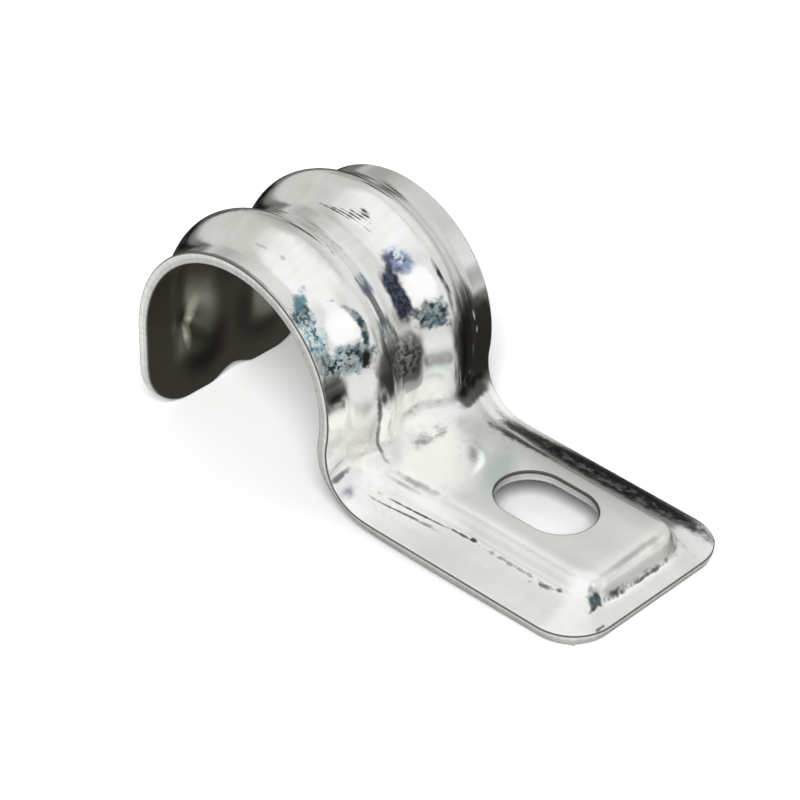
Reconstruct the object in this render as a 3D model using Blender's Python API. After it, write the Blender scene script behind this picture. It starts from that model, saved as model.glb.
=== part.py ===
"""One-hole conduit strap, pressed from a single strip of zinc-plated sheet steel.

The strip starts at the free end of one leg, goes over the conduit as a half round arch with two
ribs pressed along it, turns outwards at the foot bend, and runs on as a foot whose middle is
raised into a flat plateau with a screw slot. Lengths are metres and angles are radians.

Axes: +X runs from the arch along the foot, +Y along the conduit and +Z away from the wall. The
strap lies as it does before its screw is driven, on the free leg's end and the foot's tip.
"""

import math

import bmesh
import bpy
from mathutils import Vector

MM = 0.001

# Sheet and arch
SHEET_THICKNESS = 0.9 * MM
BORE_RADIUS = 9.05 * MM
LEG_LEAN = math.radians(1.1)
NECK_LEAN = math.radians(8.4)
NECK_LENGTH = 0.72 * MM

# Across the strip, from one long edge to the middle: plain band, rib, valley
EDGE_BAND = 1.52 * MM
RIB_WIDTH = 7.0 * MM
VALLEY_WIDTH = 1.16 * MM
RIB_HEIGHT = 1.44 * MM

# Free end of the leg
FREE_CORNER_RADIUS = 4.5 * MM
NOTCH_WIDTH = 5.2 * MM
NOTCH_DEPTH = 0.75 * MM
RIB_END_GAP = 2.6 * MM
RIB_RUN_OUT = 3.6 * MM

# Foot
FOOT_BEND_RADIUS = 3.83 * MM
FOOT_SLOPE = math.radians(1.8)
FOOT_LENGTH = 20.7 * MM
FOOT_CORNER_RADIUS = 3.7 * MM
SIDE_LIP_WIDTH = 3.5 * MM
END_LIP_WIDTH = 1.45 * MM
LIP_SLOPE = math.radians(15.0)
PLATEAU_RISE = 2.43 * MM
PLATEAU_WALL_ANGLE = math.radians(74.0)
PLATEAU_CORNER_RADIUS = 0.8 * MM
SHOULDER_RADIUS = 1.15 * MM
CREASE_RADIUS = 0.3 * MM
LEAST_WALL = 0.1 * MM
TAPER_LENGTH = 8.0 * MM

# Screw slot
SLOT_LENGTH = 8.3 * MM
SLOT_WIDTH = 5.8 * MM
SLOT_SETBACK = 10.8 * MM
SLOT_CUTTER_REACH = 3.0 * MM

# Fineness of the mesh
ARCH_STEP = math.radians(7.2)
BEND_STEP = math.radians(11.0)
RIB_STEPS = 5
SHOULDER_STEPS = 3
CREASE_STEPS = 2
LIP_STEPS = 4
CORNER_START_STEPS = 2
LEG_ROWS = 7
TAPER_ROWS = 4
PLATEAU_ROWS = 3
SLOT_ARC_STEPS = 14

# Share of the foot bend's turn over which the ribs give way to the plateau
RISE_START = 0.12
RISE_END = 0.78

HALF_WIDTH = EDGE_BAND + RIB_WIDTH + VALLEY_WIDTH / 2
ARCH_RADIUS = BORE_RADIUS + SHEET_THICKNESS


def smoothstep(value, low, high):
    """0 below low, 1 above high and an even S between them."""
    t = min(max((value - low) / (high - low), 0.0), 1.0)
    return t * t * (3 - 2 * t)


def mix(first, second, share):
    return first + (second - first) * share


def spread(low, high, steps):
    """Evenly spaced values from low to high, both ends included."""
    return [mix(low, high, i / steps) for i in range(steps + 1)]


def spread_to_edge(low, high, steps):
    """Values from low to high that crowd together towards high, for a rounded corner there."""
    return [mix(low, high, math.sin(math.pi / 2 * i / steps)) for i in range(steps + 1)]


def corner_cut(distance, radius):
    """How far a rounded corner draws back an end, at this distance in from the long edge."""
    if distance >= radius:
        return 0.0
    return radius - math.sqrt(radius**2 - (radius - distance) ** 2)


class SidePath:
    """The strap's outer long edge, seen from the side: leg, arch, neck, bend and foot.

    A point is found by its distance along the path, starting at the leg's free end. The height of
    the arch follows from the neck, the bend and the foot's slope, and the leg is as long as it
    takes to reach the wall.
    """

    def __init__(self):
        turn_to_foot = math.pi / 2 - FOOT_SLOPE
        tip_height = SHEET_THICKNESS * math.cos(LIP_SLOPE + FOOT_SLOPE)
        bend_end_height = tip_height + FOOT_LENGTH * math.sin(FOOT_SLOPE)
        self.bend_z = bend_end_height + FOOT_BEND_RADIUS * math.sin(turn_to_foot)
        neck_end_height = self.bend_z + FOOT_BEND_RADIUS * math.sin(NECK_LEAN)
        neck_start_height = neck_end_height + NECK_LENGTH * math.cos(NECK_LEAN)
        self.axis_z = neck_start_height + ARCH_RADIUS * math.sin(NECK_LEAN)

        reach = ARCH_RADIUS + FOOT_BEND_RADIUS
        self.bend_x = reach * math.cos(NECK_LEAN) - NECK_LENGTH * math.sin(NECK_LEAN)
        bend_end_x = self.bend_x - FOOT_BEND_RADIUS * math.cos(turn_to_foot)
        tip_x = bend_end_x + FOOT_LENGTH * math.cos(FOOT_SLOPE)
        self.shift_x = -(tip_x - (ARCH_RADIUS + RIB_HEIGHT)) / 2

        self.leg_length = (self.axis_z - ARCH_RADIUS * math.sin(LEG_LEAN)) / math.cos(LEG_LEAN)
        self.arch_turn = math.pi + LEG_LEAN + NECK_LEAN
        self.bend_turn = NECK_LEAN + turn_to_foot
        self.arch_start = self.leg_length
        self.arch_end = self.arch_start + ARCH_RADIUS * self.arch_turn
        self.bend_start = self.arch_end + NECK_LENGTH
        self.bend_end = self.bend_start + FOOT_BEND_RADIUS * self.bend_turn
        self.tip = self.bend_end + FOOT_LENGTH

    def frame(self, s):
        """Point, outward normal and forward direction of the path at distance s."""
        if s < self.arch_start:
            angle = math.pi + LEG_LEAN
            centre, radius, ahead = (0.0, self.axis_z), ARCH_RADIUS, s - self.arch_start
        elif s < self.arch_end:
            angle = math.pi + LEG_LEAN - (s - self.arch_start) / ARCH_RADIUS
            centre, radius, ahead = (0.0, self.axis_z), ARCH_RADIUS, 0.0
        elif s < self.bend_start:
            angle = -NECK_LEAN
            centre, radius, ahead = (0.0, self.axis_z), ARCH_RADIUS, s - self.arch_end
        else:
            turned = min((s - self.bend_start) / FOOT_BEND_RADIUS, self.bend_turn)
            angle = turned - NECK_LEAN
            centre, radius = (self.bend_x, self.bend_z), -FOOT_BEND_RADIUS
            ahead = max(s - self.bend_end, 0.0)
        normal = Vector((math.cos(angle), 0.0, math.sin(angle)))
        forward = Vector((normal.z, 0.0, -normal.x))
        start = Vector((centre[0] + self.shift_x, 0.0, centre[1]))
        return start + normal * radius + forward * ahead, normal, forward


class FootProfile:
    """How the foot falls from its flat top to an outer edge: shoulder, wall, crease and lip.

    Each point is a distance in from the edge and a height over it. The wall is less steep than
    it should be where it is too low for the two rounds it joins.
    """

    def __init__(self, lip_width):
        self.lip_width = lip_width
        self.lip_top = lip_width * math.tan(LIP_SLOPE)
        fall = PLATEAU_RISE - self.lip_top - LEAST_WALL
        rounds = SHOULDER_RADIUS + CREASE_RADIUS
        room = (SHOULDER_RADIUS + CREASE_RADIUS * math.cos(LIP_SLOPE) - fall) / rounds
        self.turn = min(PLATEAU_WALL_ANGLE, math.acos(max(room, 0.0)))
        shoulder_foot = PLATEAU_RISE - SHOULDER_RADIUS * (1 - math.cos(self.turn))
        crease_inset, crease_top = self.on_crease(self.turn)
        run = (shoulder_foot - crease_top) / math.tan(self.turn)
        self.flat_inset = crease_inset + run + SHOULDER_RADIUS * math.sin(self.turn)

    def on_crease(self, slope):
        across = CREASE_RADIUS * (math.sin(slope) - math.sin(LIP_SLOPE))
        up = CREASE_RADIUS * (math.cos(LIP_SLOPE) - math.cos(slope))
        return self.lip_width + across, self.lip_top + up

    def on_shoulder(self, slope):
        across = SHOULDER_RADIUS * math.sin(slope)
        down = SHOULDER_RADIUS * (1 - math.cos(slope))
        return self.flat_inset - across, PLATEAU_RISE - down

    def points(self):
        """From the edge of the flat top out to the edge of the foot."""
        shoulder = [self.on_shoulder(slope) for slope in spread(0.0, self.turn, SHOULDER_STEPS)]
        crease = [self.on_crease(slope) for slope in spread(self.turn, LIP_SLOPE, CREASE_STEPS)]
        insets = spread_to_edge(self.lip_width, 0.0, LIP_STEPS)[1:]
        return shoulder + crease + [(inset, inset * math.tan(LIP_SLOPE)) for inset in insets]


class FootCorner:
    """The foot's rounded end corner, as a nest of contours from the flat top out to the edge.

    Contour m runs along the foot's side at side[m], turns a corner of radius[m] and runs across
    the foot's end at end[m]. Places along the foot are measured back from its tip.
    """

    def __init__(self):
        side, end = FootProfile(SIDE_LIP_WIDTH), FootProfile(END_LIP_WIDTH)
        side_points, end_points = side.points(), end.points()
        flat_half = HALF_WIDTH - side.flat_inset
        self.inner = spread(0.0, flat_half, RIB_STEPS + 1)
        round_start = max(end.flat_inset + PLATEAU_CORNER_RADIUS, FOOT_CORNER_RADIUS)
        self.start_back = round_start + PLATEAU_CORNER_RADIUS
        first = spread(self.start_back, end.flat_inset, CORNER_START_STEPS)[:-1]
        self.side = self.inner[-1 - CORNER_START_STEPS:-1]
        self.side += [HALF_WIDTH - inset for inset, _ in side_points]
        self.end = first + [inset for inset, _ in end_points]
        self.side_height = [PLATEAU_RISE] * CORNER_START_STEPS + [up for _, up in side_points]
        self.end_height = [PLATEAU_RISE] * CORNER_START_STEPS + [up for _, up in end_points]
        self.radius = spread(0.0, PLATEAU_CORNER_RADIUS, CORNER_START_STEPS)[:-1]
        for inset, _ in side_points:
            out = side.flat_inset - inset
            lip_share = max(side.lip_width - inset, 0.0) / side.lip_width
            at_crease = PLATEAU_CORNER_RADIUS + side.flat_inset - side.lip_width
            grown = min(PLATEAU_CORNER_RADIUS + out, at_crease)
            self.radius.append(mix(grown, FOOT_CORNER_RADIUS, lip_share))

    def place(self, i, j):
        """Distance back from the tip, place across and height, for end row i and side column j.

        The contour is the greater of the two, and the lesser is the share of the way from the
        contour's end to the middle of its corner.
        """
        m = max(i, j)
        radius, reach = self.radius[m], math.pi / 4 * self.radius[m]
        along_side = self.start_back - self.end[m] - radius
        along_end = self.side[m] - radius - self.side[0]
        straight = along_side if j >= i else along_end
        distance = (straight + reach) * min(i, j) / max(m, 1)
        on_line = min(distance, straight)
        on_arc = distance - on_line
        angle = on_arc / radius if on_arc else 0.0
        if j >= i:
            back = self.start_back - on_line - radius * math.sin(angle)
            across = self.side[m] - radius * (1 - math.cos(angle))
            share = smoothstep(angle, 0.0, math.pi / 2)
        else:
            back = self.end[m] + radius * (1 - math.cos(angle))
            across = self.side[0] + on_line + radius * math.sin(angle)
            share = smoothstep(math.pi / 2 - angle, 0.0, math.pi / 2)
        return back, across, mix(self.side_height[m], self.end_height[m], share)


class Strap:
    """The whole strip as a surface of two parameters: distance along it and place across it."""

    def __init__(self):
        self.path = SidePath()
        self.corner = FootCorner()
        self.corner_start = self.path.tip - self.corner.start_back
        self.arch_places, self.foot_places, self.foot_heights = self.columns()

    def columns(self):
        """Each column's place on the ribbed arch and its place and height on the foot."""
        rib_inner = VALLEY_WIDTH / 2
        crest = rib_inner + RIB_WIDTH / 2
        rib_outer = rib_inner + RIB_WIDTH
        arch = [0.0]
        arch += spread(rib_inner, crest, RIB_STEPS)
        arch += spread(crest, rib_outer, SHOULDER_STEPS + CREASE_STEPS + 1)[1:]
        arch += spread_to_edge(rib_outer, HALF_WIDTH, LIP_STEPS)[1:]
        inside = self.corner.inner[:-1 - CORNER_START_STEPS]
        foot = inside + self.corner.side
        heights = [PLATEAU_RISE] * len(inside) + self.corner.side_height
        return arch, foot, heights

    def rib(self, y):
        """Height of the rib over the arch, a full cosine wave."""
        crest = (VALLEY_WIDTH + RIB_WIDTH) / 2
        share = min(abs(y - crest) / (RIB_WIDTH / 2), 1.0)
        return RIB_HEIGHT * 0.5 * (1 + math.cos(math.pi * share))

    def free_end_cut(self, y):
        """How far the free end is drawn back here by its corners and its notch."""
        corner = corner_cut(HALF_WIDTH - y, FREE_CORNER_RADIUS)
        share = min(y / (NOTCH_WIDTH / 2), 1.0)
        return corner + NOTCH_DEPTH * 0.5 * (1 + math.cos(math.pi * share))

    def stations(self):
        """Distances along the strip of its rows of points, up to where the foot's corners start."""
        path = self.path
        leg = spread(0.0, path.arch_start, LEG_ROWS)
        arch = spread(path.arch_start, path.arch_end, math.ceil(path.arch_turn / ARCH_STEP))
        bend = spread(path.bend_start, path.bend_end, math.ceil(path.bend_turn / BEND_STEP))
        taper = spread(path.bend_end, path.bend_end + TAPER_LENGTH, TAPER_ROWS)
        plateau = spread(taper[-1], self.corner_start, PLATEAU_ROWS)
        return leg + arch[1:] + bend + taper[1:] + plateau[1:-1]

    def point(self, s, column, foot_place, foot_height):
        """The outer surface at distance s along the path, for one column of the strip's half."""
        path = self.path
        arch_place = self.arch_places[column]
        turned = (s - path.bend_start) / (path.bend_end - path.bend_start)
        rise = smoothstep(turned, RISE_START, RISE_END)
        narrow = smoothstep(s, path.bend_start, path.bend_end + TAPER_LENGTH)
        fade = smoothstep(s, RIB_END_GAP, RIB_END_GAP + RIB_RUN_OUT)
        height = mix(fade * self.rib(arch_place), foot_height, rise)
        base, normal, _ = path.frame(s)
        return base + normal * height + Vector((0.0, mix(arch_place, foot_place, narrow), 0.0))

    def half_row(self, s):
        """Points from the middle of the strip to its long edge, drawn back at the free end."""
        row = []
        for column, foot in enumerate(zip(self.foot_places, self.foot_heights)):
            start = self.free_end_cut(self.arch_places[column])
            share = max(1 - s / self.path.arch_start, 0.0)
            row.append(self.point(s + start * share, column, *foot))
        return row

    def half_end_row(self, i):
        """Points of row i of the foot's end, from its middle to its long edge."""
        row = []
        inside = len(self.foot_places) - len(self.corner.side)
        for column, foot_place in enumerate(self.foot_places):
            if column < inside:
                back, across, height = self.corner.end[i], foot_place, self.corner.end_height[i]
            else:
                back, across, height = self.corner.place(i, column - inside)
            row.append(self.point(self.path.tip - back, column, across, height))
        return row

    def grid(self):
        """Rows of points over the whole strip, from the free end to the foot's tip."""
        halves = [self.half_row(s) for s in self.stations()]
        halves += [self.half_end_row(i) for i in range(len(self.corner.end))]
        flip = Vector((1.0, -1.0, 1.0))
        return [[point * flip for point in reversed(half[1:])] + half for half in halves]


def plated_steel():
    """Bright zinc plating over steel."""
    material = bpy.data.materials.new("zinc_plated_steel")
    material.use_nodes = True
    shader = material.node_tree.nodes["Principled BSDF"]
    shader.inputs["Base Color"].default_value = (0.74, 0.75, 0.71, 1.0)
    shader.inputs["Metallic"].default_value = 1.0
    shader.inputs["Roughness"].default_value = 0.2
    return material


def sheet_mesh(rows):
    """The strip's outer skin, with its outline edges marked sharp."""
    bm = bmesh.new()
    points = [[bm.verts.new(point) for point in row] for row in rows]
    for low, high in zip(points, points[1:]):
        for i in range(len(low) - 1):
            bm.faces.new((low[i], high[i], high[i + 1], low[i + 1]))
    bm.normal_update()
    for edge in bm.edges:
        edge.smooth = not edge.is_boundary
    mesh = bpy.data.meshes.new("strap")
    bm.to_mesh(mesh)
    bm.free()
    mesh.shade_smooth()
    return mesh


def slot_cutter(strap):
    """A long round-ended block that stands square to the plateau, through the whole sheet."""
    distance = strap.path.tip - SLOT_SETBACK
    base, normal, forward = strap.path.frame(distance)
    centre = base + normal * PLATEAU_RISE
    across = Vector((0.0, 1.0, 0.0))
    straight = (SLOT_LENGTH - SLOT_WIDTH) / 2
    outline = []
    for side, start in ((1, -math.pi / 2), (-1, math.pi / 2)):
        for angle in spread(start, start + math.pi, SLOT_ARC_STEPS):
            along = side * straight + SLOT_WIDTH / 2 * math.cos(angle)
            beside = SLOT_WIDTH / 2 * math.sin(angle)
            outline.append(centre + forward * along + across * beside)
    bm = bmesh.new()
    floor = bm.faces.new([bm.verts.new(p - normal * SLOT_CUTTER_REACH) for p in outline])
    bm.normal_update()
    grown = bmesh.ops.extrude_face_region(bm, geom=[floor])
    top = [item for item in grown["geom"] if isinstance(item, bmesh.types.BMVert)]
    bmesh.ops.translate(bm, verts=top, vec=normal * SLOT_CUTTER_REACH * 2)
    bmesh.ops.recalc_face_normals(bm, faces=bm.faces)
    mesh = bpy.data.meshes.new("slot_cutter")
    bm.to_mesh(mesh)
    bm.free()
    cutter = bpy.data.objects.new("slot_cutter", mesh)
    cutter.hide_render = True
    cutter.display_type = "WIRE"
    bpy.context.scene.collection.objects.link(cutter)
    return cutter


def build_strap():
    """The strap: its outer skin, thickened inwards and cut by the slot."""
    strap = Strap()
    obj = bpy.data.objects.new("strap", sheet_mesh(strap.grid()))
    obj.data.materials.append(plated_steel())
    bpy.context.scene.collection.objects.link(obj)

    thickness = obj.modifiers.new("sheet_thickness", "SOLIDIFY")
    thickness.thickness = SHEET_THICKNESS
    thickness.offset = -1.0
    thickness.use_even_offset = True

    slot = obj.modifiers.new("screw_slot", "BOOLEAN")
    slot.operation = "DIFFERENCE"
    slot.solver = "EXACT"
    slot.object = slot_cutter(strap)
    return obj


def main():
    for obj in list(bpy.data.objects):
        bpy.data.objects.remove(obj, do_unlink=True)
    build_strap()


main()
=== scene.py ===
"""A one-hole conduit strap, pressed from one strip of zinc-plated sheet steel, in a pale studio.

The strip is one surface of two parameters, the distance along it from the free end of its leg and
the place across it. Lengths are metres, angles are radians, and the frame is the solid model's:
+X from the arch along the foot, +Y along the conduit, +Z away from the wall.
"""

from __future__ import annotations

import logging
import math
from dataclasses import dataclass, field
from enum import Enum
from functools import cached_property, partial
import bpy
import numpy as np
from mathutils import Color, Matrix, Vector
from numpy.typing import NDArray


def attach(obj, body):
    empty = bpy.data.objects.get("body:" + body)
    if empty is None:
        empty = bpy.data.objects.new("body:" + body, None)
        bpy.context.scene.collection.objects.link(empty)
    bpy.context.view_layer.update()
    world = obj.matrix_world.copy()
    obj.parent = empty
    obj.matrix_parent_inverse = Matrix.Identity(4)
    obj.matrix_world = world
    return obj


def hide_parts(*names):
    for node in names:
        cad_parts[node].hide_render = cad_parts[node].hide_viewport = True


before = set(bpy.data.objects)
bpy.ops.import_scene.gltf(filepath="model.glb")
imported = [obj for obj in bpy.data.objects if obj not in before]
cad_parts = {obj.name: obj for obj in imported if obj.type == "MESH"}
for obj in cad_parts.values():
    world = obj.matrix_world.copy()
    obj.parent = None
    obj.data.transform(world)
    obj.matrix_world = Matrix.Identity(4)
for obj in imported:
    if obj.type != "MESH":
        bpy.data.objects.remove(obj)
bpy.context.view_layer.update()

Array = NDArray[np.float64]
Grid = NDArray[np.int64]
Triple = tuple[float, float, float]
Colour = tuple[float, float, float, float]
Range = tuple[float, float]
Socket = bpy.types.NodeSocket

LOG = logging.getLogger("conduit_strap")
MM = 1e-3
# The length on the strip that 1 in its UV map stands for.
STRIP_UNIT = 0.1
WHITE = (1.0, 1.0, 1.0, 1.0)


def smoothstep(value: Array, low: float, high: float) -> Array:
    """An even S from 0 to 1: three squares less two cubes of the share gone from low to high."""
    share = np.clip((value - low) / (high - low), 0.0, 1.0)
    return share * share * (3 - 2 * share)


def mix(first: Array | float, second: Array | float, share: Array | float) -> Array:
    """Goes the given share of the way from first to second."""
    return first + (second - first) * share


def unit(vectors: Array) -> Array:
    """Vectors scaled to length 1 along their last axis."""
    return vectors / np.linalg.norm(vectors, axis=-1, keepdims=True)


def nearest(values: Array, wanted: float) -> int:
    """The number of the value that lies nearest the wanted one."""
    return int(np.argmin(np.abs(values - wanted)))


def corner_cut(inset: Array, radius: float) -> Array:
    """How far a round corner draws an end back at an inset: its radius less the circle's height there."""
    reach = np.clip(radius - inset, 0.0, radius)
    return radius - np.sqrt(radius**2 - reach**2)


def hill(place: Array, middle: float, width: float) -> Array:
    """A hill 1 high and as wide as given: half of one plus the cosine, with one wave across it."""
    share = np.minimum(np.abs(place - middle) / (width / 2), 1.0)
    return 0.5 * (1 + np.cos(math.pi * share))


def towards(azimuth: float, elevation: float) -> Array:
    """The unit vector at an azimuth and an elevation in degrees, azimuth 0 along +X and 90 along +Y."""
    turn, rise = math.radians(azimuth), math.radians(elevation)
    return np.array([math.cos(rise) * math.cos(turn), math.cos(rise) * math.sin(turn), math.sin(rise)])


def bell_mean(grid: Array, reach: float, axis: int) -> Array:
    """The mean of each point's neighbours along one axis, weighted by a bell curve.

    The weight is e to the power of minus half the square of the distance over the reach, and
    the neighbours go out to three reaches. Past an end, the grid goes on as its own mirror
    image turned about the end, so that the end itself stays where it is.

    Args:
        grid: A grid of points.
        reach: How many points away the weight has fallen to 0.61.
        axis: 0 to average along the columns, 1 to average along the rows.

    Returns:
        The averaged grid.
    """
    far = math.ceil(3 * reach)
    offsets = np.arange(-far, far + 1)
    weights = np.exp(-0.5 * (offsets / reach) ** 2)
    margin = [(far, far) if way == axis else (0, 0) for way in range(grid.ndim)]
    longer = np.pad(grid, margin, mode="reflect", reflect_type="odd")
    size = grid.shape[axis]
    shifted = (longer.take(np.arange(first, first + size), axis) for first in range(2 * far + 1))
    return sum(weight * part for weight, part in zip(weights / weights.sum(), shifted))


def once_round(rows: slice, columns: slice) -> list[Grid]:
    """Row and column numbers once round a block, along its first row and down its last column.

    Args:
        rows: The block's rows.
        columns: The block's columns.

    Returns:
        The row numbers and the column numbers.
    """
    block = np.meshgrid(*(np.arange(part.start, part.stop) for part in (rows, columns)), indexing="ij")
    return [np.concatenate([part[0, :-1], part[:-1, -1], part[-1, :0:-1], part[:0:-1, 0]])
            for part in block]


@dataclass(frozen=True)
class StrapSizes:
    """Every size of the strap that can be set by itself, as on the solid model."""

    sheet: float = 0.9 * MM
    bore_radius: float = 9.05 * MM
    leg_lean: float = math.radians(1.1)
    neck_lean: float = math.radians(8.4)
    neck_length: float = 0.72 * MM
    edge_band: float = 1.52 * MM
    rib_width: float = 7.0 * MM
    valley_width: float = 1.16 * MM
    rib_height: float = 1.434 * MM
    free_corner_radius: float = 4.5 * MM
    notch_width: float = 5.2 * MM
    notch_depth: float = 0.75 * MM
    rib_end_gap: float = 2.6 * MM
    rib_run_out: float = 3.6 * MM
    foot_bend_radius: float = 3.83 * MM
    foot_slope: float = math.radians(1.8)
    foot_length: float = 20.7 * MM
    foot_corner_radius: float = 3.7 * MM
    side_lip_width: float = 3.5 * MM
    end_lip_width: float = 1.45 * MM
    lip_slope: float = math.radians(15.0)
    plateau_rise: float = 2.43 * MM
    plateau_wall_angle: float = math.radians(74.0)
    plateau_corner_radius: float = 0.8 * MM
    shoulder_radius: float = 1.15 * MM
    crease_radius: float = 0.3 * MM
    taper_length: float = 8.0 * MM
    slot_length: float = 8.3 * MM
    slot_width: float = 5.8 * MM
    slot_setback: float = 10.8 * MM
    rise_start: float = 0.12
    rise_end: float = 0.78

    @property
    def half_width(self) -> float:
        """Half of the strip's width: band, rib and half of the valley."""
        return self.edge_band + self.rib_width + self.valley_width / 2

    @property
    def crest(self) -> float:
        """The place of a rib's top, from the strip's middle."""
        return (self.valley_width + self.rib_width) / 2

    @property
    def arch_radius(self) -> float:
        """Radius of the arch's plain outer surface."""
        return self.bore_radius + self.sheet


@dataclass(frozen=True)
class Fineness:
    """How finely the strip's surface is drawn, and the size of the rounding on its cut edges.

    The eases are in points of the grid, and the land is a share of the sheet's thickness.
    """

    step: float = 0.215 * MM
    flat_columns: int = 16
    start_levels: int = 6
    shoulder_levels: int = 9
    wall_levels: int = 2
    crease_levels: int = 4
    lip_levels: int = 12
    corner_start: float = 3.0 * MM
    slot_margin: float = 0.7 * MM
    slot_rings: int = 7
    bend_ease: float = 4.0
    foot_ease: float = 2.6
    ease_fade: float = 1.0 * MM
    edge_steps: int = 5
    rim: float = 0.13 * MM
    land: float = 0.42
    burr: float = 0.07 * MM
    tear_depth: float = 0.035 * MM


@dataclass
class SideLine:
    """The strap's outer long edge, seen from the side: leg, arch, neck, bend and foot."""

    sizes: StrapSizes

    def __post_init__(self) -> None:
        """Works out where each stretch starts, from the foot's tip back to the leg's free end."""
        size = self.sizes
        turn_to_foot = math.pi / 2 - size.foot_slope
        tip_height = size.sheet * math.cos(size.lip_slope + size.foot_slope)
        bend_end_height = tip_height + size.foot_length * math.sin(size.foot_slope)
        self.bend_z = bend_end_height + size.foot_bend_radius * math.sin(turn_to_foot)
        neck_end_height = self.bend_z + size.foot_bend_radius * math.sin(size.neck_lean)
        neck_start_height = neck_end_height + size.neck_length * math.cos(size.neck_lean)
        self.axis_z = neck_start_height + size.arch_radius * math.sin(size.neck_lean)
        reach = size.arch_radius + size.foot_bend_radius
        bend_x = reach * math.cos(size.neck_lean) - size.neck_length * math.sin(size.neck_lean)
        bend_end_x = bend_x - size.foot_bend_radius * math.cos(turn_to_foot)
        tip_x = bend_end_x + size.foot_length * math.cos(size.foot_slope)
        self.axis_x = -(tip_x - (size.arch_radius + size.rib_height)) / 2
        self.bend_x = bend_x + self.axis_x
        self.arch_turn = math.pi + size.leg_lean + size.neck_lean
        self.bend_turn = size.neck_lean + turn_to_foot
        leg = self.axis_z - size.arch_radius * math.sin(size.leg_lean)
        self.arch_start = leg / math.cos(size.leg_lean)
        self.arch_end = self.arch_start + size.arch_radius * self.arch_turn
        self.bend_start = self.arch_end + size.neck_length
        self.bend_end = self.bend_start + size.foot_bend_radius * self.bend_turn
        self.tip = self.bend_end + size.foot_length

    def at(self, along: Array) -> tuple[Array, Array]:
        """The line's points and outward normals, as (..., 3) arrays.

        The normal's angle falls by the distance gone over the radius round the arch, and grows by
        it round the bend. A point is a circle's centre plus or minus its radius along the normal,
        plus the straight distance gone past the end of that circle.

        Args:
            along: Distances along the line from the free end.

        Returns:
            The points and the normals.
        """
        size = self.sizes
        over = np.clip((along - self.arch_start) / size.arch_radius, 0.0, self.arch_turn)
        turned = np.clip((along - self.bend_start) / size.foot_bend_radius, 0.0, self.bend_turn)
        angle = math.pi + size.leg_lean - over + turned
        normal_x, normal_z = np.cos(angle), np.sin(angle)
        arch_side = along < self.bend_start
        radius = np.where(arch_side, size.arch_radius, -size.foot_bend_radius)
        centre_x = np.where(arch_side, self.axis_x, self.bend_x)
        centre_z = np.where(arch_side, self.axis_z, self.bend_z)
        ahead = np.minimum(along - self.arch_start, 0.0)
        ahead = ahead + np.clip(along - self.arch_end, 0.0, size.neck_length) * arch_side
        ahead = ahead + np.maximum(along - self.bend_end, 0.0)
        flat = np.zeros_like(along)
        x = centre_x + normal_x * radius + normal_z * ahead
        height = centre_z + normal_z * radius - normal_x * ahead
        return np.stack([x, flat, height], -1), np.stack([normal_x, flat, normal_z], -1)


@dataclass
class FootFall:
    """How the foot falls from its flat top to an outer edge: shoulder, wall, crease and lip."""

    sizes: StrapSizes
    fine: Fineness
    lip_width: float

    def __post_init__(self) -> None:
        """Fits the straight wall between the two rounds that it joins."""
        size, turn = self.sizes, self.sizes.plateau_wall_angle
        shoulder_foot = size.plateau_rise - size.shoulder_radius * (1 - math.cos(turn))
        across, top = self.crease(np.array([turn]))
        run = (shoulder_foot - top[0]) / math.tan(turn)
        self.flat_inset = float(across[0]) + run + size.shoulder_radius * math.sin(turn)

    def crease(self, slope: Array) -> tuple[Array, Array]:
        """A concave arc that starts along the lip.

        Args:
            slope: The slopes to read it at.

        Returns:
            The inset from the edge and the height at each slope.
        """
        size = self.sizes
        across = size.crease_radius * (np.sin(slope) - math.sin(size.lip_slope))
        up = size.crease_radius * (math.cos(size.lip_slope) - np.cos(slope))
        return self.lip_width + across, self.lip_width * math.tan(size.lip_slope) + up

    def levels(self) -> tuple[Array, Array]:
        """Insets from the edge, and heights, from the edge of the flat top out to the rim.

        The shoulder is an arc that starts level, the wall is straight, the crease is an arc that
        ends along the lip, and the lip is straight and ends one rim short of the edge.

        Returns:
            The insets and the heights, one for each level.
        """
        size, fine, turn = self.sizes, self.fine, self.sizes.plateau_wall_angle
        slope = np.linspace(0.0, turn, fine.shoulder_levels + 1)
        shoulder_in = self.flat_inset - size.shoulder_radius * np.sin(slope)
        shoulder_up = size.plateau_rise - size.shoulder_radius * (1 - np.cos(slope))
        crease_in, crease_up = self.crease(np.linspace(turn, size.lip_slope, fine.crease_levels + 1))
        share = np.linspace(0.0, 1.0, fine.wall_levels + 1)[1:-1]
        wall_in = mix(shoulder_in[-1], crease_in[0], share)
        wall_up = mix(shoulder_up[-1], crease_up[0], share)
        lip_in = np.linspace(self.lip_width, fine.rim, fine.lip_levels + 1)[1:]
        lip_up = lip_in * math.tan(size.lip_slope)
        inset = np.concatenate([shoulder_in, wall_in, crease_in, lip_in])
        return inset, np.concatenate([shoulder_up, wall_up, crease_up, lip_up])


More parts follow.
